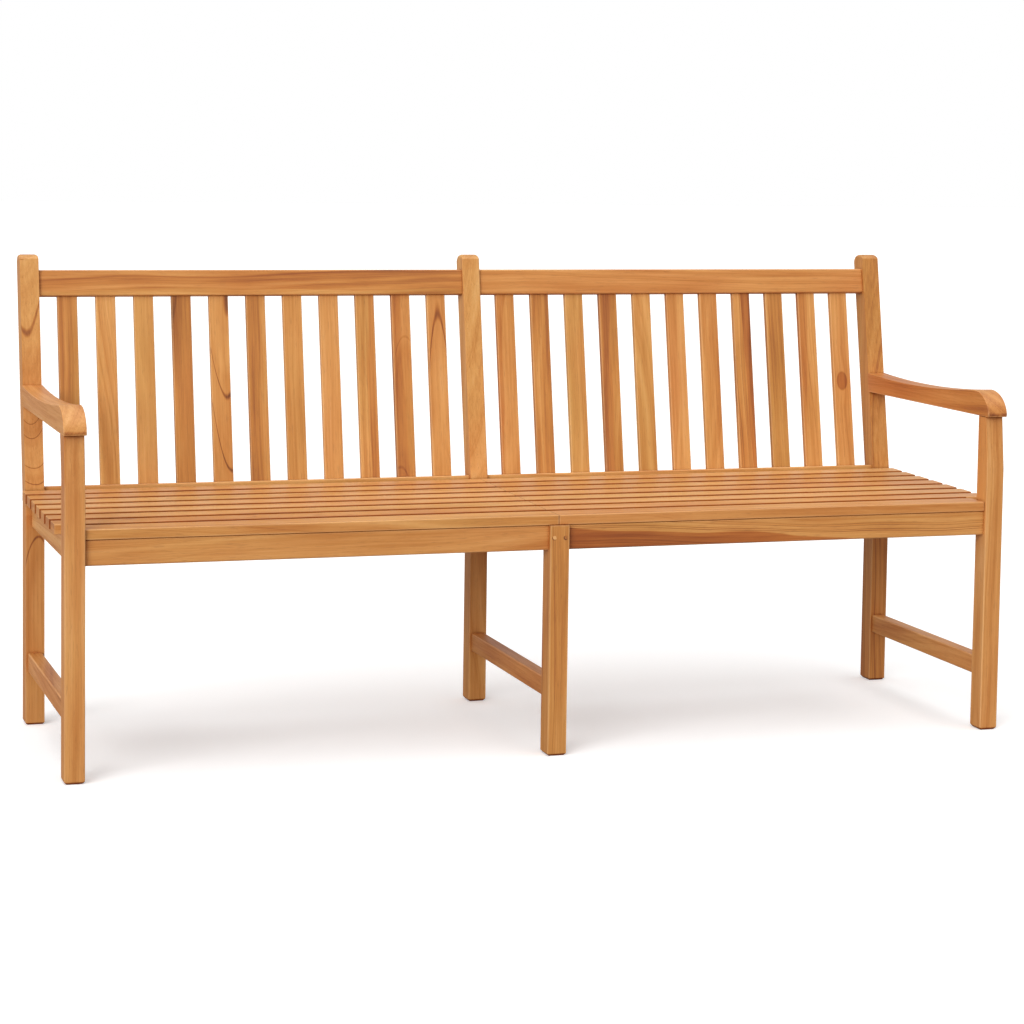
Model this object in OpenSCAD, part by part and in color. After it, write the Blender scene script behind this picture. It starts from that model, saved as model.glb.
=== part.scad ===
// Three-frame slatted garden bench in solid teak.
// Millimetres, +Z up, front towards -Y. Left and right are as seen from the front, so +X is right.
// The origin is on the floor, at the centre of the bench's outline.

/* [Overall] */
// Width over the outer faces of the end frames
bench_w = 1800; // [1500:10:2000]
// Height of the rear posts
bench_h = 893; // [860:1:920]
// Front face of the front legs to front face of the rear posts, at the floor
frame_depth = 495; // [470:1:520]
// Height of the top of the seat at its front
seat_h = 444; // [436:1:450]
// How much higher the seat is at the rear posts
seat_rise = 6; // [0:0.5:8]
// Height of the underside of the armrests
arm_h = 608; // [590:1:630]

/* [Frames] */
// Width of every post and leg, across the bench
stock_w = 36; // [34:1:44]
// Depth of every post and leg, front to back
stock_d = 41; // [40:1:44]
// Height at which the front of the rear posts starts to lean back
bend_h = 434; // [430:1:438]
// Lean of the back from the vertical, in degrees
back_lean = 10.3; // [8:0.1:12]
// Radius of the crown on top of the rear posts, front to back
crown_r = 24; // [23:0.5:30]
// Radius of the crown's left and right corners
crown_corner_r = 6; // [3:0.5:10]
// Chamfer around the feet
foot_chamfer = 4; // [2:0.5:6]
// How far the front of an end leg is cut back under its armrest
neck_set = 11; // [0:1:12]
// Height of that cut
neck_l = 100; // [60:5:110]

/* [Armrests] */
// Width of an armrest
arm_w = 40; // [40:1:50]
// Thickness at the waist, where the top is lowest
arm_waist_t = 33; // [31:0.5:38]
// Distance of the waist behind the front of the legs
arm_waist_y = 350; // [300:5:380]
// Radius of the long hollow in the armrest's top
arm_hollow_r = 2900; // [2600:50:4000]
// Length of the round-over at the front of the armrest
arm_nose_l = 64; // [55:1:75]
// How far the armrest stands out in front of the leg
arm_overhang = 3; // [1:0.5:6]

/* [Rails] */
// Thickness of the front seat rails and the end side rails
seat_rail_t = 22; // [20:1:24]
// Thickness of the side rail under the joint of the seat halves
middle_rail_t = 28; // [26:1:30]
// Height of the seat rails
seat_rail_h = 46; // [44:1:48]
// How far the front seat rails are set back from the legs' front
front_rail_set = 9; // [6:0.5:9]
// Distance of an end side rail from the outer face of its frame
side_rail_inset = 12; // [10:0.5:12]
// Thickness of the top and lower back rails
back_rail_t = 25; // [22:0.5:26]
// Height of the top and lower back rails
back_rail_h = 50; // [44:1:54]
// How far the back rails are set back from the posts' front
back_rail_set = 6; // [4:0.5:7]
// Top edge of the lower back rail, measured up the lean from the posts' bend
lower_rail_top = 24; // [22:0.5:28]
// Top edge of the top rail, measured up the lean from the posts' bend
top_rail_top = 438; // [420:0.5:442]
// Thickness of the floor-level stretchers
stretcher_t = 27; // [24:0.5:30]
// Height of a stretcher
stretcher_h = 36; // [30:1:45]
// Height of a stretcher's underside above the floor
stretcher_z = 103; // [60:1:200]

/* [Slats] */
// Number of upright slats in each half of the back
back_slat_count = 11; // [5:1:11]
// Width of a back slat
back_slat_w = 38; // [30:0.5:42]
// Thickness of a back slat
back_slat_t = 12; // [10:0.5:14]
// Number of slat rows in the seat
seat_row_count = 8; // [6:1:8]
// Width of a seat slat behind the front one
seat_slat_w = 45; // [38:0.5:48]
// Width of the front seat slat
front_slat_w = 58; // [52:0.5:62]
// Thickness of the seat slats
seat_slat_t = 18; // [16:0.5:20]
// How far the front seat slat stands out in front of its rail
front_slat_overhang = 2; // [0:0.5:4]
// How far the other seat slats stand out past the end frames
slat_end_overhang = 6; // [0:0.5:12]
// Gap where the two halves of a seat row meet
half_gap = 1; // [0.5:0.5:3]

/* [Joints and fasteners] */
// Length of every tenon
tenon_l = 16; // [12:0.5:16]
// Thickness of the seat rail and stretcher tenons
tenon_t = 10; // [8:0.5:10]
// Free space around a tenon or a slat end in its mortise
fit_gap = 0.15; // [0.1:0.05:0.3]
// Depth to which the back slats enter their rails
slat_bite = 12; // [8:0.5:16]
// Diameter of the wooden pins in the middle front leg
pin_d = 8; // [6:0.5:8]
// Distance of each pin from the centre of that leg
pin_x = 11; // [10:0.5:12]
// Diameter of the seat screws' shank
screw_d = 4; // [3:0.5:4]
// Diameter of the seat screws' head
screw_head_d = 8; // [6:0.5:8]
// Length of the seat screws
screw_l = 38; // [30:1:40]

/* [Edges] */
// Radius on the long edges of the slats
slat_edge_r = 1.5; // [1:0.5:4]
// Radius on the long edges of the rails
rail_edge_r = 3; // [1:0.5:4]

/* [Hidden] */
$fn = 48;
teak = "#cf9152";
teak_dark = "#b87a45";
steel = "#b9bcc0";

ends = ["left", "middle", "right"];
halves = ["left", "right"];
sides = [-1, 1];
// How far a cutting or joining shape runs past the face it starts from
cut = 1;

// Frames: the end frames' outer faces are at +-bench_w / 2, the middle frame is at the centre.
frame_pitch = (bench_w - stock_w) / 2;
function frame_x(i) = (i - 1) * frame_pitch;

// Rear posts, in a plane where y runs back from the front of the legs.
rear_bend_h = bend_h - stock_d * tan(back_lean / 2);
post_level_d = stock_d / cos(back_lean);
function post_front_y(z) = frame_depth + (z - bend_h) * tan(back_lean);
crown_z = bench_h - crown_r;
crown_y = post_front_y(crown_z) + post_level_d / 2;

// Front to back outline: from the armrests' nose to the edge where the crown meets the posts' rear face.
crown_rise = sqrt(pow(crown_r, 2) - pow(stock_d / 2, 2));
front_y = -arm_overhang;
rear_y = crown_y + stock_d / 2 * cos(back_lean) + crown_rise * sin(back_lean);
middle_y = (front_y + rear_y) / 2;

// Seat.
rail_top = seat_h - seat_slat_t;
rail_bottom = rail_top - seat_rail_h;
front_slat_y = front_rail_set - front_slat_overhang;
seat_back_gap = 0.5;
rows_behind = seat_row_count - 1;
free_depth = frame_depth - seat_back_gap - front_slat_y - front_slat_w - rows_behind * seat_slat_w;
row_gap = floor(10 * free_depth / rows_behind) / 10;
row_pitch = seat_slat_w + row_gap;
function row_y(row) = row == 1 ? front_slat_y : front_slat_y + front_slat_w + row_gap + (row - 2) * row_pitch;
function row_w(row) = row == 1 ? front_slat_w : seat_slat_w;
row_outer_x = bench_w / 2 + slat_end_overhang;
front_row_outer_x = bench_w / 2 - stock_w - half_gap / 2;

// Behind the front slat the seat rises evenly to the rear posts.
rise_y = front_slat_y + front_slat_w;
rise_angle = atan(seat_rise / (frame_depth - rise_y));
function rise_at(y) = max(0, y - rise_y) * tan(rise_angle);

// Back panels, between two posts.
panel_w = frame_pitch - stock_w;
panel_x = frame_pitch / 2;
back_slat_gap = (panel_w - back_slat_count * back_slat_w) / (back_slat_count + 1);
back_slat_pitch = back_slat_w + back_slat_gap;
slat_low = lower_rail_top - slat_bite;
slat_high = top_rail_top - back_rail_h + slat_bite;
back_rail_mid = back_rail_set + back_rail_t / 2;

// Tenons. A tenon is shorter than its rail by a shoulder at the top and bottom edges.
tenon_shoulder = 5;
mortise_end_gap = 0.5;
front_tenon_set = 3;
front_tenon_y = front_rail_set + front_tenon_set;
lower_tenon_low = -4;
leg_tenon_h = 20;
leg_tenon_d = 20;
arm_tenon_lift = 6;
arm_tenon_z = arm_h + arm_tenon_lift;
arm_tenon_h = 24;

// Wooden pins: they stand a little proud and end a little way behind the tenons they hold.
pin_z = (rail_top + rail_bottom) / 2;
pin_past_tenon = 4;
pin_l = front_tenon_y + tenon_t + pin_past_tenon;
pin_stand = 0.5;

// Seat screws: driven from below, with some wood left above their tips.
screw_cover = 6;
screw_z = seat_h - screw_cover - screw_l;
screw_head_h = 3;
screw_hole_d = screw_d + 0.2;
counterbore_d = screw_head_d + 1;
middle_screw_x = 7;
end_screw_x = bench_w / 2 - side_rail_inset - seat_rail_t / 2;
front_screw_y = front_rail_set + seat_rail_t / 2;
front_screw_inset = 60;

// ---- placing and basic shapes ----

// Moves a shape drawn with y measured from the front of the legs to the bench's own origin.
module on_bench() {
    translate([0, -middle_y, 0]) children();
}

// The plane of the back: x across, y square to the posts' front face, z up the lean from the bend.
module in_back_plane() {
    translate([0, frame_depth, bend_h]) rotate([-back_lean, 0, 0]) children();
}

// The plane that the seat slats lie on: x across, y up the rise from the rear edge of the front slat.
module in_seat_plane() {
    translate([0, rise_y, rail_top]) rotate([rise_angle, 0, 0]) children();
}

// A block from two opposite corners.
module block(low, high) {
    translate(low) cube(high - low);
}

// A rectangle from two opposite corners with its corners rounded.
module rounded_rect(low, high, r) {
    union() {
        translate(low + [r, 0]) square(high - low - [2 * r, 0]);
        translate(low + [0, r]) square(high - low - [0, 2 * r]);
        for (x = [low[0] + r, high[0] - r], y = [low[1] + r, high[1] - r])
            translate([x, y]) circle(r);
    }
}

// A member that runs across the bench; its section is given in y and z.
module along_x(x_low, x_high) {
    translate([x_low, 0, 0]) rotate([90, 0, 90]) linear_extrude(x_high - x_low) children();
}

// A member that runs front to back; its section is given in x and z.
module along_y(y_low, y_high) {
    translate([0, y_high, 0]) rotate([90, 0, 0]) linear_extrude(y_high - y_low) children();
}

// A tenon or, with grow above zero, the mortise for it. Its corners are given like a block's.
module tenon(low, high, grow = 0) {
    slack = grow > 0 ? [fit_gap, fit_gap, fit_gap] : [0, 0, 0];
    block(low - slack, high + slack);
}

// ---- rear posts ----

// Side view of a rear post: upright to the bend, then leaning back, with a round crown.
module post_side() {
    intersection() {
        polygon([
            [frame_depth + foot_chamfer, 0],
            [frame_depth, foot_chamfer],
            [frame_depth, bend_h],
            [post_front_y(bench_h), bench_h],
            [post_front_y(bench_h) + post_level_d, bench_h],
            [frame_depth + stock_d, rear_bend_h],
            [frame_depth + stock_d, foot_chamfer],
            [frame_depth + stock_d - foot_chamfer, 0]
        ]);
        union() {
            translate([crown_y, crown_z]) circle(crown_r, $fn = 96);
            square([2 * frame_depth, crown_z]);
        }
    }
}

// Front view of a post or leg: feet chamfered, top corners rounded where top_r is above zero.
module upright_front(height, top_r) {
    half = stock_w / 2;
    union() {
        polygon([
            [-half, foot_chamfer],
            [-half + foot_chamfer, 0],
            [half - foot_chamfer, 0],
            [half, foot_chamfer],
            [half, height - top_r],
            [-half, height - top_r]
        ]);
        translate([-half + top_r, height - top_r - cut]) square([stock_w - 2 * top_r, top_r + cut]);
        for (side = top_r > 0 ? sides : [])
            translate([side * (half - top_r), height - top_r]) circle(top_r);
    }
}

module rear_post(i) {
    color(teak) on_bench() difference() {
        translate([frame_x(i), 0, 0]) intersection() {
            along_x(-stock_w / 2, stock_w / 2) post_side();
            along_y(0, bench_h) upright_front(bench_h, crown_corner_r);
        }
        side_rail_tenon(i, "rear", 1);
        stretcher_tenon(i, "rear", 1);
        for (panel = sides) {
            back_rail_tenons(panel, top_rail_top - back_rail_h + tenon_shoulder, top_rail_top - tenon_shoulder, 1);
            back_rail_tenons(panel, lower_tenon_low, lower_rail_top - tenon_shoulder, 1);
            arm_tenon(panel, 1);
        }
    }
}

// ---- front legs ----

// Side view of a front leg; neck is how far its front is cut back at the top.
module leg_side(height, neck) {
    polygon([
        [foot_chamfer, 0],
        [0, foot_chamfer],
        [0, height - neck_l],
        [neck, height],
        [stock_d, height],
        [stock_d, foot_chamfer],
        [stock_d - foot_chamfer, 0]
    ]);
}

module front_leg(i) {
    is_end = i != 1;
    height = is_end ? arm_h : rail_top;
    color(teak) on_bench() difference() {
        union() {
            translate([frame_x(i), 0, 0]) intersection() {
                along_x(-stock_w / 2, stock_w / 2) leg_side(height, is_end ? neck_set : 0);
                along_y(-cut, stock_d + cut) upright_front(height, 0);
            }
            if (is_end) leg_tenon(i - 1);
        }
        side_rail_tenon(i, "front", 1);
        stretcher_tenon(i, "front", 1);
        front_rail_tenons(1);
        if (!is_end) pin_shapes(1);
    }
}

// The tenon on top of an end leg that enters the armrest; side is -1 left, 1 right.
module leg_tenon(side, grow = 0) {
    x = side * frame_pitch;
    y = (neck_set + stock_d - leg_tenon_d) / 2;
    tenon([x - stock_w / 4, y, arm_h - cut], [x + stock_w / 4, y + leg_tenon_d, arm_h + leg_tenon_h], grow);
}

// ---- armrests ----

// Height of the armrest's top along its long hollow.
function arm_top(y) = arm_h + arm_waist_t + arm_hollow_r - sqrt(pow(arm_hollow_r, 2) - pow(y - arm_waist_y, 2));

// Side view of an armrest: flat underside, hollow top, rounded nose, rear end cut to the post's lean.
module arm_side() {
    steps = 24;
    toe = 2;
    nose_y = front_y + arm_nose_l;
    nose_h = arm_top(nose_y) - arm_h;
    rear_low_y = post_front_y(arm_h) - fit_gap;
    rear_top_y = post_front_y(arm_top(rear_low_y)) - fit_gap;
    polygon(concat(
        [[front_y + toe, arm_h], [rear_low_y, arm_h]],
        [for (n = [0 : steps])
            let (y = rear_top_y + (nose_y - rear_top_y) * n / steps)
            [y, arm_top(y)]],
        [for (n = [1 : steps - 1])
            let (angle = 90 + 90 * n / steps)
            [nose_y + arm_nose_l * cos(angle), arm_h + nose_h * sin(angle)]]
    ));
}

module armrest(side) {
    x = side * frame_pitch;
    color(teak) on_bench() difference() {
        union() {
            along_x(x - arm_w / 2, x + arm_w / 2) arm_side();
            arm_tenon(side);
        }
        leg_tenon(side, 1);
    }
}

// The tenon at an armrest's rear end, which enters the post's leaning face.
module arm_tenon(side, grow = 0) {
    x = side * frame_pitch;
    y = post_front_y(arm_tenon_z);
    reach = grow > 0 ? mortise_end_gap : 0;
    tenon(
        [x - tenon_t / 2, y - cut, arm_tenon_z],
        [x + tenon_t / 2, y + tenon_l + reach, arm_tenon_z + arm_tenon_h],
        grow
    );
}

// ---- side seat rails and stretchers ----

// Centre of a side rail across the bench: set in from the outer face on the end frames.
function side_rail_x(i) = (i - 1) * (bench_w / 2 - side_rail_inset - seat_rail_t / 2);
function side_rail_t(i) = i == 1 ? middle_rail_t : seat_rail_t;

// A tenon that enters the rear face of a front leg or the front face of a rear post.
module frame_tenon(x, z_low, z_high, end, grow) {
    reach = tenon_l + (grow > 0 ? mortise_end_gap : 0);
    y_low = end == "front" ? stock_d - reach : frame_depth - cut;
    y_high = end == "front" ? stock_d + cut : frame_depth + reach;
    tenon([x - tenon_t / 2, y_low, z_low], [x + tenon_t / 2, y_high, z_high], grow);
}

module side_rail_tenon(i, end, grow = 0) {
    frame_tenon(side_rail_x(i), rail_bottom + tenon_shoulder, rail_top - tenon_shoulder, end, grow);
}

module stretcher_tenon(i, end, grow = 0) {
    z = stretcher_z + tenon_shoulder;
    frame_tenon(frame_x(i), z, z + stretcher_h - 2 * tenon_shoulder, end, grow);
}

// The space above the side rails: level behind the front legs, then rising under the seat slats.
module above_side_rails() {
    top = rail_top + seat_rail_h;
    along_x(-bench_w, bench_w) polygon([
        [0, rail_top],
        [rise_y, rail_top],
        [frame_depth, rail_top + seat_rise],
        [frame_depth, top],
        [0, top]
    ]);
}

module side_seat_rail(i) {
    x = side_rail_x(i);
    half = side_rail_t(i) / 2;
    blank_top = rail_top + seat_rise + rail_edge_r;
    color(teak) on_bench() difference() {
        union() {
            along_y(stock_d, frame_depth)
                rounded_rect([x - half, rail_bottom], [x + half, blank_top], rail_edge_r);
            side_rail_tenon(i, "front");
            side_rail_tenon(i, "rear");
        }
        above_side_rails();
        screw_holes();
    }
}

module stretcher(i) {
    x = frame_x(i);
    half = stretcher_t / 2;
    color(teak) on_bench() union() {
        along_y(stock_d, frame_depth)
            rounded_rect([x - half, stretcher_z], [x + half, stretcher_z + stretcher_h], rail_edge_r);
        stretcher_tenon(i, "front");
        stretcher_tenon(i, "rear");
    }
}

// ---- front seat rails ----

// The two tenons of one front rail, into an end leg and into the middle leg.
module front_rail_tenon_pair(side, grow = 0) {
    reach = panel_w / 2 + tenon_l + (grow > 0 ? mortise_end_gap : 0);
    x = side * panel_x;
    tenon(
        [x - reach, front_tenon_y, rail_bottom + tenon_shoulder],
        [x + reach, front_tenon_y + tenon_t, rail_top - tenon_shoulder],
        grow
    );
}

module front_rail_tenons(grow) {
    for (side = sides) front_rail_tenon_pair(side, grow);
}

module front_seat_rail(side) {
    x = side * panel_x;
    color(teak) on_bench() difference() {
        union() {
            along_x(x - panel_w / 2, x + panel_w / 2)
                rounded_rect(
                    [front_rail_set, rail_bottom],
                    [front_rail_set + seat_rail_t, rail_top],
                    rail_edge_r
                );
            front_rail_tenon_pair(side);
        }
        pin_shapes(1);
        screw_holes();
    }
}

// ---- back rails ----

// The two tenons of one back rail, between two heights in the plane of the back.
module back_rail_tenons(side, z_low, z_high, grow = 0) {
    reach = panel_w / 2 + tenon_l + (grow > 0 ? mortise_end_gap : 0);
    x = side * panel_x;
    in_back_plane() tenon(
        [x - reach, back_rail_mid - tenon_t / 2, z_low],
        [x + reach, back_rail_mid + tenon_t / 2, z_high],
        grow
    );
}

// The mortises for the slats of one half of the back.
module back_slat_mortises(side) {
    for (n = [1 : back_slat_count])
        in_back_plane() tenon(
            [back_slat_x(side, n) - back_slat_w / 2, back_rail_mid - back_slat_t / 2, slat_low],
            [back_slat_x(side, n) + back_slat_w / 2, back_rail_mid + back_slat_t / 2, slat_high],
            1
        );
}

module back_rail(side, z_top, tenon_low) {
    x = side * panel_x;
    color(teak) on_bench() difference() {
        union() {
            in_back_plane() along_x(x - panel_w / 2, x + panel_w / 2)
                rounded_rect(
                    [back_rail_set, z_top - back_rail_h],
                    [back_rail_set + back_rail_t, z_top],
                    rail_edge_r
                );
            back_rail_tenons(side, tenon_low, z_top - tenon_shoulder);
        }
        back_slat_mortises(side);
    }
}

module top_rail(side) {
    back_rail(side, top_rail_top, top_rail_top - back_rail_h + tenon_shoulder);
}

module lower_back_rail(side) {
    back_rail(side, lower_rail_top, lower_tenon_low);
}

// ---- slats ----

function back_slat_x(side, n) =
    side * panel_x - panel_w / 2 + back_slat_gap + back_slat_w / 2 + (n - 1) * back_slat_pitch;

module back_slat(side, n) {
    x = back_slat_x(side, n);
    color(teak) on_bench() in_back_plane() translate([0, 0, slat_low])
        linear_extrude(slat_high - slat_low)
        rounded_rect(
            [x - back_slat_w / 2, back_rail_mid - back_slat_t / 2],
            [x + back_slat_w / 2, back_rail_mid + back_slat_t / 2],
            slat_edge_r
        );
}

// A seat slat's board, with its near edge at a given y and its underside at z = 0.
module seat_board(side, row, y) {
    inner = half_gap / 2;
    outer = row == 1 ? front_row_outer_x : row_outer_x;
    x_low = side > 0 ? inner : -outer;
    x_high = side > 0 ? outer : -inner;
    along_x(x_low, x_high) rounded_rect([y, 0], [y + row_w(row), seat_slat_t], slat_edge_r);
}

module seat_slat(side, row) {
    color(teak) on_bench() difference() {
        if (row == 1)
            translate([0, 0, rail_top]) seat_board(side, row, row_y(row));
        else
            in_seat_plane() seat_board(side, row, row_y(row) - rise_y);
        screw_shapes(1);
    }
}

// ---- fasteners ----

// Wooden pins through the front rails' tenons in the middle leg, or the holes for them.
module pin_shapes(hole = 0) {
    for (side = sides)
        translate([side * pin_x, -pin_stand, pin_z]) rotate([-90, 0, 0])
            cylinder(d = pin_d, h = pin_l + pin_stand + hole * mortise_end_gap);
}

module tenon_pins() {
    color(teak_dark) on_bench() pin_shapes();
}

// Places of the seat screws, in x and y: four in each row behind the front one, six in the front row.
screw_places = concat(
    [for (row = [2 : seat_row_count], x = [middle_screw_x, end_screw_x], side = sides)
        [side * x, row_y(row) + seat_slat_w / 2]],
    [for (n = [0 : 2], side = sides)
        [side * (stock_w / 2 + front_screw_inset + n * (panel_w / 2 - front_screw_inset)), front_screw_y]]
);

// The screws' shanks, or with hole above zero the holes for them.
module screw_shapes(hole = 0) {
    for (place = screw_places)
        translate([place[0], place[1], screw_z + rise_at(place[1])])
            cylinder(d = hole > 0 ? screw_hole_d : screw_d, h = screw_l + hole * mortise_end_gap);
}

// Clearance holes in the rails, counterbored from below for the heads.
module screw_holes() {
    screw_shapes(1);
    for (place = screw_places)
        translate([place[0], place[1], rail_bottom - cut])
            cylinder(
                d = counterbore_d,
                h = screw_z + rise_at(place[1]) + screw_head_h - rail_bottom + cut
            );
}

module seat_screws() {
    color(steel) on_bench() union() {
        screw_shapes();
        for (place = screw_places)
            translate([place[0], place[1], screw_z + rise_at(place[1])])
                cylinder(d = screw_head_d, h = screw_head_h);
    }
}

// ---- nodes ----

for (i = [0 : 2]) {
    rear_post(i);
    front_leg(i);
    side_seat_rail(i);
    stretcher(i);
}
for (i = [0 : 1]) {
    armrest(sides[i]);
    front_seat_rail(sides[i]);
    lower_back_rail(sides[i]);
    top_rail(sides[i]);
}
for (i = [0 : 1], n = [1 : back_slat_count])
    back_slat(sides[i], n);
for (i = [0 : 1], n = [1 : seat_row_count])
    seat_slat(sides[i], n);
tenon_pins();
seat_screws();
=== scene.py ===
"""The garden bench's looks: sanded teak on a pale studio floor in soft light, seen from the front left."""

import math
import random
from statistics import fmean

import bpy
from mathutils import Matrix, Vector


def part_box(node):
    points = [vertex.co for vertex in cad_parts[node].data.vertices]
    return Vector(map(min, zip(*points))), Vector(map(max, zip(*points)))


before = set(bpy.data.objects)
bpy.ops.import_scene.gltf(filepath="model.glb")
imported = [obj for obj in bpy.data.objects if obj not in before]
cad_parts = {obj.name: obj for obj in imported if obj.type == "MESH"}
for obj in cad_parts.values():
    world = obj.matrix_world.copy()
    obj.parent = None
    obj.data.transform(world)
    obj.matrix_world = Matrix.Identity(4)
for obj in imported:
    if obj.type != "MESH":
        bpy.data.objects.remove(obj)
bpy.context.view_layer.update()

MM = 0.001


def srgb(red, green, blue):
    """A colour given as 0 to 255 screen values, as linear light."""
    def linear(value):
        value /= 255
        return value / 12.92 if value <= 0.04045 else ((value + 0.055) / 1.055) ** 2.4
    return (linear(red), linear(green), linear(blue), 1.0)


# ---- the boards and their own axes ----

LEANING = ("back_slat", "top_rail", "lower_back_rail")
# How much of each end of a slat shows where that end lies.
SLAT_END = 50 * MM


def lean_angle():
    """How far the back leans from the vertical, from the two ends of one back slat."""
    name = "back_slat_left_1"
    low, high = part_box(name)
    points = [v.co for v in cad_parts[name].data.vertices]
    foot = [p for p in points if p.z < low.z + SLAT_END]
    head = [p for p in points if p.z > high.z - SLAT_END]
    rise = fmean(p.z for p in head) - fmean(p.z for p in foot)
    run = fmean(p.y for p in head) - fmean(p.y for p in foot)
    return math.atan2(run, rise)


LEAN = lean_angle()


class Board:
    """A node's own axes: across its broad face, through it and along the grain, with its half sizes.

    A point of the bench lies at matrix @ point + offset on these axes, which start at the board's centre.
    """

    def __init__(self, node):
        self.node = node
        turn = Matrix.Rotation(-LEAN, 3, "X") if node.startswith(LEANING) else Matrix.Identity(3)
        inverse = turn.transposed()
        points = [inverse @ v.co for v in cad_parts[node].data.vertices]
        low = Vector([min(p[k] for p in points) for k in range(3)])
        high = Vector([max(p[k] for p in points) for k in range(3)])
        size = high - low
        through, across, along = sorted(range(3), key=lambda k: size[k])
        axes = [turn.col[k].copy() for k in (across, through, along)]
        if axes[0].cross(axes[1]).dot(axes[2]) < 0:
            axes[1].negate()
        self.matrix = Matrix(axes)
        self.half = Vector([size[k] / 2 for k in (across, through, along)])
        self.offset = -(self.matrix @ (turn @ ((low + high) / 2)))


# ---- building shader nodes ----

VECTOR = "NodeSocketVector"
NUMBER = "NodeSocketFloat"
COLOUR = "NodeSocketColor"


def new_group(name, inputs, outputs):
    """An empty node group; its sockets are given as name: kind."""
    tree = bpy.data.node_groups.new(name, "ShaderNodeTree")
    for in_out, sockets in (("INPUT", inputs), ("OUTPUT", outputs)):
        for socket, kind in sockets.items():
            tree.interface.new_socket(socket, in_out=in_out, socket_type=kind)
    return tree


class Graph:
    """Adds shader nodes to a tree; each method returns the new node's output socket."""

    def __init__(self, tree):
        self.tree = tree

    def node(self, kind, **settings):
        made = self.tree.nodes.new(kind)
        for name, value in settings.items():
            setattr(made, name, value)
        return made

    def put(self, socket, value):
        if isinstance(value, bpy.types.NodeSocket):
            self.tree.links.new(value, socket)
        else:
            socket.default_value = value

    def math(self, operation, a, b=0.0, clamp=False):
        made = self.node("ShaderNodeMath", operation=operation, use_clamp=clamp)
        self.put(made.inputs[0], a)
        self.put(made.inputs[1], b)
        return made.outputs[0]

    def add(self, first, *others):
        for other in others:
            first = self.math("ADD", first, other)
        return first

    def minus(self, a, b):
        return self.math("SUBTRACT", a, b)

    def times(self, a, b, clamp=False):
        return self.math("MULTIPLY", a, b, clamp)

    def centred(self, value, width):
        """A value of 0 to 1, turned into one that spans the width with its middle at 0."""
        return self.times(self.minus(value, 0.5), width)

    def vector(self, operation, a, b=(0.0, 0.0, 0.0)):
        made = self.node("ShaderNodeVectorMath", operation=operation)
        self.put(made.inputs[0], a)
        self.put(made.inputs[1], b)
        return made.outputs["Value" if operation == "LENGTH" else "Vector"]

    def split(self, vector):
        made = self.node("ShaderNodeSeparateXYZ")
        self.put(made.inputs[0], vector)
        return made.outputs[0], made.outputs[1], made.outputs[2]

    def join(self, x, y, z):
        made = self.node("ShaderNodeCombineXYZ")
        for socket, value in zip(made.inputs, (x, y, z)):
            self.put(socket, value)
        return made.outputs[0]

    def noise(self, vector, detail=2.0, roughness=0.5, scale=1.0):
        made = self.node("ShaderNodeTexNoise", noise_dimensions="3D")
        self.put(made.inputs["Vector"], vector)
        made.inputs["Scale"].default_value = scale
        made.inputs["Detail"].default_value = detail
        made.inputs["Roughness"].default_value = roughness
        return made.outputs["Fac"], made.outputs["Color"]

    def line_noise(self, position, detail=2.0, roughness=0.5):
        """Noise that varies with one number only."""
        made = self.node("ShaderNodeTexNoise", noise_dimensions="1D")
        self.put(made.inputs["W"], position)
        made.inputs["Scale"].default_value = 1.0
        made.inputs["Detail"].default_value = detail
        made.inputs["Roughness"].default_value = roughness
        return made.outputs["Fac"]

    def step(self, value, low, high, to_low=0.0, to_high=1.0):
        """A smooth change from to_low at low to to_high at high."""
        made = self.node("ShaderNodeMapRange", interpolation_type="SMOOTHSTEP", clamp=True)
        for name, item in (("Value", value), ("From Min", low), ("From Max", high),
                           ("To Min", to_low), ("To Max", to_high)):
            self.put(made.inputs[name], item)
        return made.outputs[0]

    def ramp(self, value, stops):
        made = self.node("ShaderNodeValToRGB")
        self.put(made.inputs[0], value)
        points = made.color_ramp.elements
        while len(points) < len(stops):
            points.new(0.5)
        for point, (position, colour) in zip(points, stops):
            point.position = position
            point.color = colour
        return made.outputs[0]

    def mix(self, factor, a, b, blend="MIX"):
        made = self.node("ShaderNodeMix", data_type="RGBA", blend_type=blend)
        self.put(made.inputs[0], factor)
        self.put(made.inputs[6], a)
        self.put(made.inputs[7], b)
        return made.outputs[2]


# ---- teak ----

# Colours of sanded teak, from the light early wood to the dark line of a growth ring.
TEAK_STOPS = (
    (0.00, srgb(236, 188, 126)),
    (0.35, srgb(219, 160, 92)),
    (0.60, srgb(198, 132, 66)),
    (0.80, srgb(166, 100, 50)),
    (1.00, srgb(108, 60, 32)),
)
RUSSET = srgb(222, 172, 142)
OLIVE = srgb(214, 224, 196)
PORE = srgb(120, 68, 38)
# A lighter colour for the edges: painted highlight, with a little sanding wear.
WORN_AND_HIGHLIT = srgb(246, 206, 150)
# A darker, duller colour for joints and gaps: painted shade.
JOINT_AND_GAP_SHADE = srgb(182, 129, 45)

# Widths of the tone bands, single rings and dark ring lines, and how far the pith wanders.
BAND_WIDTH = 16 * MM
RING_WIDTH = 5 * MM
LINE_WIDTH = 8 * MM
PITH_WANDER = 34 * MM
# How fast each pattern changes across, through and along a board, in waves to the metre.
WANDER_WAVES = (7.0, 7.0, 2.4)
FIBRE_WAVES = (260.0, 260.0, 6.0)
PORE_WAVES = (1100.0, 1100.0, 42.0)
CLOUD_WAVES = (22.0, 22.0, 4.0)
PATCH_WAVES = (9.0, 9.0, 3.0)
DARK_EDGE_WAVES = 3.2
# How far the edge of the heartwood, and of the painted shade below the seat on the rear posts, strays,
# frays along the fibres, and blurs.
DARK_EDGE_STRAY = 22 * MM
DARK_EDGE_FRAY = 6 * MM
DARK_EDGE_BLUR = 1.5 * MM
# How far a knot pushes the rings aside.
KNOT_PUSH = 6 * MM
# How near two faces have to be for painted shade to darken the joint between them.
JOINT_SHADE_REACH = 14 * MM


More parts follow.
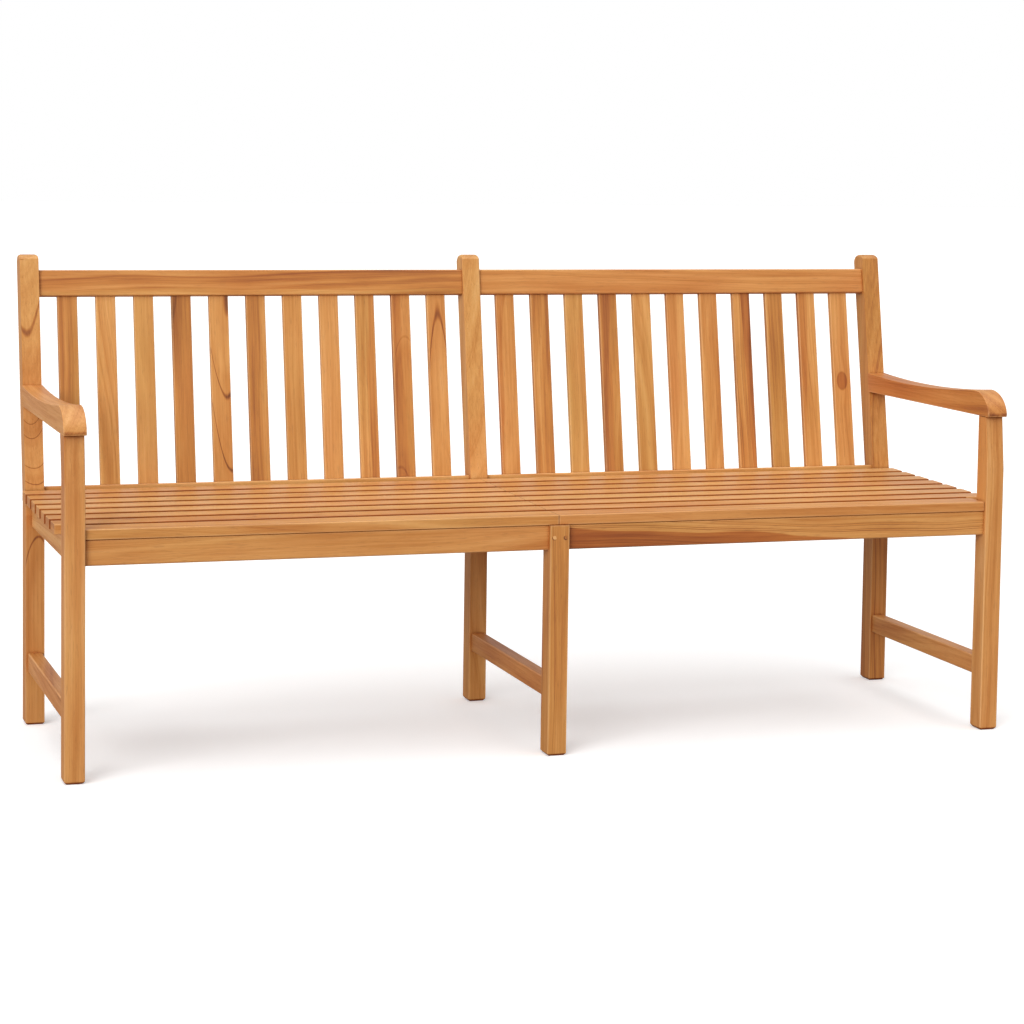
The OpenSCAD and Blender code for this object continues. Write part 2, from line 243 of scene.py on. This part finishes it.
def knot(g, x, z, given):
    """How far a knot pushes the rings aside, its dark middle, and its darker rim."""
    knot_x, knot_z, knot_r = g.split(given)
    beside = g.join(g.minus(x, knot_x), 0.0, g.times(g.minus(z, knot_z), 0.6))
    radii = g.math("DIVIDE", g.vector("LENGTH", beside), knot_r)
    push = g.step(radii, 4.0, 0.6, 0.0, KNOT_PUSH)
    core = g.step(radii, 1.15, 0.80)
    rim = g.step(g.math("ABSOLUTE", g.minus(radii, 1.0)), 0.22, 0.0)
    return push, core, rim


def from_pith(g, place, here, given):
    """The distance from a pith that wanders slowly and leans away along the board."""
    x, y, z = g.split(place)
    _, wander = g.noise(g.vector("MULTIPLY", here, WANDER_WAVES), detail=1.0)
    wander = g.vector("SUBTRACT", wander, (0.5, 0.5, 0.5))
    wander = g.vector("MULTIPLY", wander, (PITH_WANDER, PITH_WANDER, 0.0))
    pith_x, pith_y, taper = g.split(given)
    lean = g.times(z, taper)
    straight = g.join(g.minus(x, g.add(pith_x, lean)), g.minus(y, g.add(pith_y, lean)), 0.0)
    return g.vector("LENGTH", g.vector("ADD", straight, wander))


def heartwood_and_shade(g, x, z, seed, fibres, given):
    """Darker, redder wood past a slanting line that strays a little: heartwood, and on the rear posts
    painted shade below the seat; a minus puts it before the line.
    """
    edge_x, slope, strength = g.split(given)
    stray = g.line_noise(g.add(g.times(z, DARK_EDGE_WAVES), seed), detail=1.0)
    past = g.minus(g.minus(x, edge_x), g.times(z, slope))
    past = g.add(past, g.add(g.centred(stray, DARK_EDGE_STRAY), g.centred(fibres, DARK_EDGE_FRAY)))
    past = g.times(past, g.math("SIGN", strength))
    return g.times(g.step(past, -DARK_EDGE_BLUR, DARK_EDGE_BLUR), g.math("ABSOLUTE", strength))


def teak_group():
    """The grain of one board cut from a log: growth rings round a pith, fibres and pores along it."""
    inputs = dict(Place=VECTOR, Pith=VECTOR, Knot=VECTOR, HeartAndShade=VECTOR, Edge=NUMBER, End=NUMBER,
                  Gap=NUMBER, Seed=NUMBER, Tone=NUMBER, Russet=NUMBER, Lines=NUMBER)
    tree = new_group("teak_grain", inputs, dict(Color=COLOUR, Roughness=NUMBER, Height=NUMBER))
    g = Graph(tree)
    given = g.node("NodeGroupInput").outputs
    place = given["Place"]
    seed = given["Seed"]
    x, _, z = g.split(place)
    # Each board's seed moves it to wood of its own.
    here = g.vector("ADD", place, g.vector("MULTIPLY", g.join(seed, seed, seed), (13.7, 7.3, 3.1)))

    # Broad bands of tone, single rings, and a few thin dark ring lines.
    knot_push, knot_core, knot_rim = knot(g, x, z, given["Knot"])
    ring = g.add(from_pith(g, place, here, given["Pith"]), knot_push, g.times(seed, 0.37))
    bands = g.line_noise(g.times(ring, 1 / BAND_WIDTH), detail=1.0)
    rings = g.line_noise(g.times(ring, 1 / RING_WIDTH), detail=3.0, roughness=0.6)
    lines = g.line_noise(g.times(ring, 1 / LINE_WIDTH), detail=0.0)
    lines = g.step(g.math("ABSOLUTE", g.minus(lines, 0.62)), 0.035, 0.0)

    # Fibres, pores and a slow change of tone along the board.
    fibres, _ = g.noise(g.vector("MULTIPLY", here, FIBRE_WAVES), detail=3.0, roughness=0.6)
    pores, _ = g.noise(g.vector("MULTIPLY", here, PORE_WAVES), detail=2.0)
    pores = g.step(pores, 0.58, 0.72)
    clouds, _ = g.noise(g.vector("MULTIPLY", here, CLOUD_WAVES), detail=2.0)
    # Past the slanting line the board is darker and redder: heartwood, and on the rear posts painted shade
    # below the seat.
    heart_and_shade = heartwood_and_shade(g, x, z, seed, fibres, given["HeartAndShade"])

    dark = g.add(given["Tone"],
                 g.centred(bands, 0.44),
                 g.centred(rings, 0.26),
                 g.centred(fibres, 0.42),
                 g.centred(clouds, 0.46),
                 g.times(lines, given["Lines"]),
                 g.times(knot_core, 0.22),
                 g.times(knot_rim, 0.16),
                 g.times(heart_and_shade, 0.24),
                 g.times(given["End"], 0.22))
    colour = g.ramp(dark, TEAK_STOPS)

    # Patches are redder or more olive than the rest of the board.
    patch_place = g.vector("ADD", g.vector("MULTIPLY", here, PATCH_WAVES), (5.0, 1.0, 7.0))
    patches, _ = g.noise(patch_place, detail=2.0)
    russet = g.add(given["Russet"], heart_and_shade, g.centred(patches, 1.6), g.times(knot_core, 0.5))
    colour = g.mix(g.times(russet, 0.6, clamp=True), colour, RUSSET, "MULTIPLY")
    colour = g.mix(g.times(russet, -0.9, clamp=True), colour, OLIVE, "MULTIPLY")
    colour = g.mix(g.times(pores, 0.30), colour, PORE)

    # Edges are a little lighter and drier: painted highlight, with a little sanding wear.
    ragged = g.add(given["Edge"], g.centred(fibres, 3 * MM))
    worn_and_highlit = g.step(ragged, 3.2 * MM, 0.4 * MM)
    colour = g.mix(g.times(worn_and_highlit, 0.22), colour, WORN_AND_HIGHLIT)

    # Narrow joints and the gaps between the seat slats are darker: painted shade, from ambient occlusion
    # and from the gap mask.
    occlusion = g.node("ShaderNodeAmbientOcclusion", samples=4)
    occlusion.inputs["Distance"].default_value = JOINT_SHADE_REACH
    painted_shade = g.math("MAXIMUM", g.step(occlusion.outputs["AO"], 0.74, 0.30), given["Gap"])
    colour = g.mix(painted_shade, colour, g.mix(1.0, colour, JOINT_AND_GAP_SHADE, "MULTIPLY"))

    rough = g.add(0.44, g.centred(fibres, 0.22), g.times(pores, 0.12), g.times(worn_and_highlit, 0.08))
    height = g.minus(g.add(g.times(fibres, 0.5), g.times(rings, 0.3)), g.times(pores, 0.8))
    out = g.node("NodeGroupOutput")
    for name, value in (("Color", colour), ("Roughness", rough), ("Height", height)):
        g.put(out.inputs[name], value)
    return tree


def edge_group():
    """Where a point of a straight board lies: how near an edge, on an end face, or in a gap beside it where
    shade is painted.
    """
    inputs = {"Place": VECTOR, "Half": VECTOR, "Gaps": VECTOR, "Bare From": NUMBER}
    tree = new_group("edges", inputs, dict(Distance=NUMBER, End=NUMBER, Gap=NUMBER))
    g = Graph(tree)
    given = g.node("NodeGroupInput").outputs
    place_x, place_y, place_z = g.split(given["Place"])
    _, half_y, _ = g.split(given["Half"])
    out = g.node("NodeGroupOutput")

    # The nearest edge is where the two nearest faces meet.
    inside = g.vector("SUBTRACT", given["Half"], g.vector("ABSOLUTE", given["Place"]))
    x, y, z = g.split(inside)
    nearest = g.math("MINIMUM", x, y)
    farther = g.math("MAXIMUM", x, y)
    g.put(out.inputs["Distance"], g.math("MAXIMUM", nearest, g.math("MINIMUM", farther, z)))
    g.put(out.inputs["End"], g.step(z, 1.0 * MM, 0.2 * MM))

    # Gaps holds the strength of the painted shade in the gap on the board's near and far side, and which
    # way its top faces.
    # Past Bare From along the board, towards the end on that side, nothing lies in front of it.
    near_gap, far_gap, up = g.split(given["Gaps"])
    bare = given["Bare From"]
    past_neighbour = g.minus(g.times(place_z, g.math("SIGN", bare)), g.math("ABSOLUTE", bare))
    near_gap = g.times(near_gap, g.step(past_neighbour, 1.0 * MM, -1.0 * MM))
    far = g.step(place_x, -1.0 * MM, 1.0 * MM)
    strength = g.add(g.times(far_gap, far), g.times(near_gap, g.minus(1.0, far)))
    on_side = g.step(x, 2.0 * MM, 0.9 * MM)
    below_top = g.step(g.minus(half_y, g.times(place_y, up)), 0.1 * MM, 1.2 * MM)
    g.put(out.inputs["Gap"], g.times(strength, g.times(on_side, below_top)))
    return tree


TEAK = teak_group()
EDGES = edge_group()

# How a board looks: how dark it is, how reddish (below 0: how olive), and how strong its ring lines are.
GOLDEN = dict(tone=0.42, russet=0.05, lines=0.14)
PLAIN = dict(tone=0.42, russet=-0.05, lines=0.08)
LIGHT = dict(tone=0.30, russet=0.05, lines=0.08)
PINKISH = dict(tone=0.34, russet=0.40, lines=0.08)
ORANGE = dict(tone=0.45, russet=0.35, lines=0.12)
BROWN = dict(tone=0.54, russet=-0.05, lines=0.14)
DULL_BROWN = dict(tone=0.58, russet=-0.18, lines=0.12)
REDDISH = dict(tone=0.58, russet=0.60, lines=0.12)
FIGURED = dict(tone=0.40, russet=0.10, lines=0.40)

LOOKS = {
    "rear_post_left": FIGURED,
    "rear_post_middle": dict(PLAIN, tone=0.47),
    "rear_post_right": dict(BROWN, tone=0.56, russet=-0.25),
    "front_leg_left": ORANGE,
    "front_leg_middle": BROWN,
    "front_leg_right": ORANGE,
    "front_seat_rail_left": dict(ORANGE, tone=0.42),
    "armrest_left": dict(PINKISH, tone=0.43, russet=0.16),
    "armrest_right": dict(REDDISH, tone=0.58, russet=0.40),
    # The middle and right stretchers under the seat are darker and redder: painted shade and painted warm
    # bounce light.
    "stretcher_middle": REDDISH,
    "stretcher_right": dict(REDDISH, tone=0.50),
    "stretcher_left": ORANGE,
    "top_rail_left": dict(PLAIN, tone=0.48, russet=-0.32),
    "top_rail_right": ORANGE,
    "front_seat_rail_right": dict(FIGURED, tone=0.45, russet=0.15),
    "back_slat_left_1": DULL_BROWN,
    "back_slat_left_2": PLAIN,
    "back_slat_left_3": dict(PLAIN, tone=0.47),
    "back_slat_left_4": dict(DULL_BROWN, tone=0.63),
    "back_slat_left_5": dict(FIGURED, tone=0.59),
    "back_slat_left_6": dict(DULL_BROWN, tone=0.65),
    "back_slat_left_7": dict(PLAIN, russet=-0.20),
    "back_slat_left_9": dict(BROWN, tone=0.48),
    "back_slat_left_10": dict(BROWN, tone=0.63),
    "back_slat_left_11": dict(FIGURED, tone=0.55),
    "back_slat_right_2": DULL_BROWN,
    "back_slat_right_3": dict(PLAIN, tone=0.45, russet=-0.32),
    "back_slat_right_4": dict(DULL_BROWN, tone=0.64),
    "back_slat_right_5": dict(PLAIN, tone=0.40, russet=-0.25),
    "back_slat_right_6": dict(PINKISH, tone=0.30, russet=0.05),
    "back_slat_right_7": dict(PLAIN, tone=0.48),
    "back_slat_right_8": dict(FIGURED, tone=0.52),
    "back_slat_right_9": DULL_BROWN,
    "back_slat_right_10": dict(GOLDEN, tone=0.46),
    "back_slat_right_11": dict(GOLDEN, tone=0.46),
}
SEAT_LOOKS = (PINKISH, LIGHT, GOLDEN, PINKISH)

# Heartwood, and on the rear posts painted shade below the seat: where its edge crosses the middle of the
# board, the edge's slope along it, and its strength.
# A minus puts the darker part on the near or lower side of the edge.
# On a rear post a steep edge keeps it to the part below the seat, where it is painted shade from the seat.
SEAT_SHADE_EDGE = (-37 * MM, 0.5)
HEARTS_AND_SEAT_SHADE = {
    "rear_post_left": (*SEAT_SHADE_EDGE, 0.35),
    "rear_post_middle": (*SEAT_SHADE_EDGE, 0.34),
    "rear_post_right": (*SEAT_SHADE_EDGE, 0.42),
    "top_rail_left": (-15 * MM, 0.0, 0.45),
    "front_seat_rail_right": (-11 * MM, -0.065, -0.90),
    "front_leg_middle": (15 * MM, 0.0, 0.50),
    "back_slat_left_1": (-1 * MM, 0.01, -0.28),
    "back_slat_left_9": (4 * MM, 0.03, 0.30),
    "back_slat_left_10": (2 * MM, -0.02, -0.28),
    "back_slat_right_1": (-7 * MM, 0.06, -0.50),
    "back_slat_right_4": (3 * MM, 0.02, -0.45),
    "back_slat_right_6": (-4 * MM, 0.05, -0.28),
    "back_slat_right_8": (4 * MM, -0.03, 0.60),
    "back_slat_right_10": (-8 * MM, 0.03, -0.40),
}
NO_DARK_PART = (0.0, 0.0, 0.0)

# A distance in metres that is past the end of every board.
FAR_OFF = 9.0

# A knot's place across and along its board, and its radius.
KNOTS = {"back_slat_right_11": (-1 * MM, -4 * MM, 11 * MM)}
NO_KNOT = (0.0, FAR_OFF, 5 * MM)


def look_of(node, chance):
    """A board's look: its own, or for a seat slat one drawn from the seat's looks."""
    if node.startswith("seat_slat"):
        return chance.choice(SEAT_LOOKS)
    return LOOKS.get(node, GOLDEN)


def bare_from(board):
    """How far along a board of the seat's second row the front slat ends; past every other board's end."""
    if board.node not in ("seat_slat_left_2", "seat_slat_right_2"):
        return FAR_OFF
    low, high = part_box(board.node.replace("_2", "_1"))
    outer = Vector((low.x if "left" in board.node else high.x, 0.0, 0.0))
    return board.matrix.row[2].dot(outer) + board.offset.z


def gaps_beside(board):
    """How strongly shade is painted into a seat slat's gaps on its front and rear side, and which way along
    its own axis its top faces.
    """
    if not board.node.startswith("seat_slat"):
        return (0.0, 0.0, 1.0)
    in_front = 0.0 if board.node.endswith("_1") else 1.0
    return (in_front, 1.0, math.copysign(1.0, board.matrix.row[1].z))


def pith_of(board, chance):
    """Where the pith of a board's log lies: across and through the board, and how it leans along it."""
    angle = chance.uniform(0, 2 * math.pi)
    away = chance.uniform(45, 130) * MM
    lean = chance.choice((-1, 1)) * chance.uniform(0.01, 0.05)
    return (away * math.cos(angle), away * math.sin(angle), lean)


def teak(board, seed):
    """The teak of one board, with its grain along the board's own axis."""
    chance = random.Random(seed)
    look = look_of(board.node, chance)
    material = bpy.data.materials.new("teak_" + board.node)
    material.use_nodes = True
    tree = material.node_tree
    tree.nodes.clear()
    g = Graph(tree)
    where = g.node("ShaderNodeTexCoord").outputs["Object"]
    mapping = g.node("ShaderNodeMapping", vector_type="POINT")
    g.put(mapping.inputs["Vector"], where)
    mapping.inputs["Rotation"].default_value = board.matrix.to_euler()
    mapping.inputs["Location"].default_value = board.offset
    place = mapping.outputs[0]
    edges = g.node("ShaderNodeGroup", node_tree=EDGES)
    g.put(edges.inputs["Place"], place)
    edges.inputs["Half"].default_value = board.half
    edges.inputs["Gaps"].default_value = gaps_beside(board)
    edges.inputs["Bare From"].default_value = bare_from(board)
    grain = g.node("ShaderNodeGroup", node_tree=TEAK)
    g.put(grain.inputs["Place"], place)
    g.put(grain.inputs["Edge"], edges.outputs["Distance"])
    g.put(grain.inputs["End"], edges.outputs["End"])
    g.put(grain.inputs["Gap"], edges.outputs["Gap"])
    grain.inputs["Pith"].default_value = pith_of(board, chance)
    grain.inputs["Knot"].default_value = KNOTS.get(board.node, NO_KNOT)
    grain.inputs["HeartAndShade"].default_value = HEARTS_AND_SEAT_SHADE.get(board.node, NO_DARK_PART)
    grain.inputs["Seed"].default_value = chance.uniform(0, 20)
    grain.inputs["Tone"].default_value = look["tone"] + chance.uniform(-0.06, 0.06)
    grain.inputs["Russet"].default_value = look["russet"] + chance.uniform(-0.1, 0.15)
    grain.inputs["Lines"].default_value = look["lines"]
    bump = g.node("ShaderNodeBump")
    bump.inputs["Strength"].default_value = 0.35
    bump.inputs["Distance"].default_value = 0.25 * MM
    g.put(bump.inputs["Height"], grain.outputs["Height"])
    shader = g.node("ShaderNodeBsdfPrincipled")
    g.put(shader.inputs["Base Color"], grain.outputs["Color"])
    g.put(shader.inputs["Roughness"], grain.outputs["Roughness"])
    g.put(shader.inputs["Normal"], bump.outputs[0])
    shader.inputs["Specular IOR Level"].default_value = 0.4
    surface = g.node("ShaderNodeOutputMaterial")
    g.put(surface.inputs["Surface"], shader.outputs[0])
    return material


# ---- pins and screws ----

PIN_RING_WIDTH = 0.9 * MM


def pin_wood():
    """End grain of the two wooden pins, the right one darker, with a dark glue line round each that widens
    to the lower left as painted shade.
    """
    low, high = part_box("tenon_pins")
    radius = (high.z - low.z) / 2
    pin_x = (high.x - low.x) / 2 - radius
    material = bpy.data.materials.new("pin_wood")
    material.use_nodes = True
    g = Graph(material.node_tree)
    place = g.vector("SUBTRACT", g.node("ShaderNodeTexCoord").outputs["Object"], tuple((low + high) / 2))
    x, _, z = g.split(place)
    right = g.step(x, -MM, MM)
    across = g.minus(x, g.centred(right, 2 * pin_x))
    out_from_axis = g.vector("LENGTH", g.join(across, 0.0, z))
    rings = g.line_noise(g.times(g.add(across, g.times(z, 0.4)), 1 / PIN_RING_WIDTH))
    pores, _ = g.noise(g.vector("MULTIPLY", place, (1800.0, 300.0, 1800.0)), detail=2.0)
    # The glue line widens to the lower left: painted shade.
    lower_left = g.times(g.add(across, z), -0.42)
    glue_and_shade = g.step(g.add(out_from_axis, lower_left), radius - 0.9 * MM, radius + 0.2 * MM)
    dark = g.add(0.17,
                 g.times(right, 0.55),
                 g.centred(rings, 0.5),
                 g.times(g.step(pores, 0.55, 0.7), 0.25),
                 g.times(glue_and_shade, 0.7))
    shader = material.node_tree.nodes["Principled BSDF"]
    g.put(shader.inputs["Base Color"], g.ramp(dark, TEAK_STOPS))
    g.put(shader.inputs["Roughness"], g.add(0.45, g.times(pores, 0.2)))
    bump = g.node("ShaderNodeBump")
    bump.inputs["Strength"].default_value = 0.3
    bump.inputs["Distance"].default_value = 0.2 * MM
    g.put(bump.inputs["Height"], g.minus(rings, pores))
    g.put(shader.inputs["Normal"], bump.outputs[0])
    return material


def screw_steel():
    """Stainless steel, finely turned, a little duller in patches."""
    material = bpy.data.materials.new("screw_steel")
    material.use_nodes = True
    g = Graph(material.node_tree)
    place = g.node("ShaderNodeTexCoord").outputs["Object"]
    turned, _ = g.noise(g.vector("MULTIPLY", place, (300.0, 300.0, 2600.0)), detail=3.0)
    patches, _ = g.noise(g.vector("MULTIPLY", place, (160.0, 160.0, 160.0)), detail=2.0)
    shader = material.node_tree.nodes["Principled BSDF"]
    g.put(shader.inputs["Base Color"], g.mix(patches, srgb(176, 176, 172), srgb(208, 209, 210)))
    shader.inputs["Metallic"].default_value = 1.0
    g.put(shader.inputs["Roughness"], g.add(0.24, g.times(turned, 0.18), g.times(patches, 0.14)))
    bump = g.node("ShaderNodeBump")
    bump.inputs["Strength"].default_value = 0.2
    bump.inputs["Distance"].default_value = 0.05 * MM
    g.put(bump.inputs["Height"], turned)
    g.put(shader.inputs["Normal"], bump.outputs[0])
    return material


# ---- dressing the CAD nodes ----

def dress(node, material):
    """Gives a CAD node its material."""
    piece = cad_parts[node]
    for slot in piece.material_slots:
        slot.material = material


def ease_edges(node, width):
    """Rounds a piece's sharp edges, as sanding does."""
    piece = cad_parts[node]
    weld = piece.modifiers.new("weld", "WELD")
    weld.merge_threshold = 0.01 * MM
    bevel = piece.modifiers.new("eased_edges", "BEVEL")
    bevel.width = width
    bevel.segments = 3
    bevel.limit_method = "ANGLE"
    bevel.angle_limit = math.radians(40)
    bevel.miter_outer = "MITER_ARC"
    normals = piece.modifiers.new("normals", "WEIGHTED_NORMAL")
    normals.keep_sharp = False


POST_EDGE = 2.0 * MM
ARM_EDGE = 2.5 * MM
BOARD_END_EDGE = 0.8 * MM


def edge_width(node):
    """How much of a board's edges the sanding takes off."""
    if node.startswith(("rear_post", "front_leg")):
        return POST_EDGE
    if node.startswith("armrest"):
        return ARM_EDGE
    return BOARD_END_EDGE


boards = sorted(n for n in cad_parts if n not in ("seat_screws", "tenon_pins"))
for index, name in enumerate(boards):
    dress(name, teak(Board(name), index))
    ease_edges(name, edge_width(name))
dress("tenon_pins", pin_wood())
dress("seat_screws", screw_steel())


# ---- floor, light and camera ----

FLOOR_HALF = 40.0
# The floor's colour in the picture, and the dimmer, warmer one of the light that it throws back.
FLOOR_SEEN = (0.95, 0.95, 0.95, 1.0)
FLOOR_BOUNCE = (0.36, 0.29, 0.26, 1.0)
FLOOR_GLOW = 0.25
# The sky's light on the bench, and how much of a full white it shows in gloss.
SKY = 0.35
SKY_IN_GLOSS = 0.5

KEY = dict(towards=(0.66, 0.70, -0.36), strength=2.1, spread=40)
TOP = dict(towards=(0.0, 0.1, -1.0), strength=1.7, spread=70)

CAMERA_PLACE = (-1.581, -4.880, 1.1216)
CAMERA_ANGLES = (85.37, -0.805, -17.915)
LENS = 94.2
SENSOR_WIDTH = 36.0
LENS_SHIFT = -0.15
FARTHEST_SEEN = 200.0


def floor():
    """A white floor that throws back less light than it shows, like the ground of a cut-out picture."""
    mesh = bpy.data.meshes.new("floor")
    corners = [(x * FLOOR_HALF, y * FLOOR_HALF, 0.0) for x, y in ((-1, -1), (1, -1), (1, 1), (-1, 1))]
    mesh.from_pydata(corners, [], [(0, 1, 2, 3)])
    made = bpy.data.objects.new("floor", mesh)
    bpy.context.scene.collection.objects.link(made)
    material = bpy.data.materials.new("pale_floor")
    material.use_nodes = True
    g = Graph(material.node_tree)
    seen = g.node("ShaderNodeLightPath").outputs["Is Camera Ray"]
    shader = material.node_tree.nodes["Principled BSDF"]
    g.put(shader.inputs["Base Color"], g.mix(seen, FLOOR_BOUNCE, FLOOR_SEEN))
    shader.inputs["Emission Color"].default_value = (1.0, 1.0, 1.0, 1.0)
    g.put(shader.inputs["Emission Strength"], g.times(seen, FLOOR_GLOW))
    shader.inputs["Roughness"].default_value = 0.9
    shader.inputs["Specular IOR Level"].default_value = 0.0
    mesh.materials.append(material)


def sky():
    """Even white light from all round, dimmer on the bench than it looks."""
    world = bpy.data.worlds.new("studio")
    bpy.context.scene.world = world
    world.use_nodes = True
    tree = world.node_tree
    g = Graph(tree)
    background = tree.nodes["Background"]
    paths = g.node("ShaderNodeLightPath").outputs
    seen = g.math("MAXIMUM", paths["Is Camera Ray"], g.times(paths["Is Glossy Ray"], SKY_IN_GLOSS))
    g.put(background.inputs["Strength"], g.add(SKY, g.times(seen, 1.0 - SKY)))
    background.inputs["Color"].default_value = (1.0, 1.0, 1.0, 1.0)


def softbox(name, towards, strength, spread):
    """Distant soft light that travels along a direction; spread is how many degrees of sky it fills."""
    data = bpy.data.lights.new(name, "SUN")
    data.energy = strength
    data.angle = math.radians(spread)
    made = bpy.data.objects.new(name, data)
    bpy.context.scene.collection.objects.link(made)
    made.rotation_euler = Vector(towards).to_track_quat("-Z", "Y").to_euler()


def camera():
    """The photographer's place: 5 m away, in front and to the left, with the lens shifted down a little."""
    data = bpy.data.cameras.new("camera")
    data.lens = LENS
    data.sensor_width = SENSOR_WIDTH
    data.shift_y = LENS_SHIFT
    data.clip_end = FARTHEST_SEEN
    made = bpy.data.objects.new("camera", data)
    bpy.context.scene.collection.objects.link(made)
    made.location = CAMERA_PLACE
    made.rotation_euler = [math.radians(a) for a in CAMERA_ANGLES]
    bpy.context.scene.camera = made


floor()
sky()
softbox("key", **KEY)
softbox("top", **TOP)
camera()
bpy.context.scene.view_settings.view_transform = "Standard"
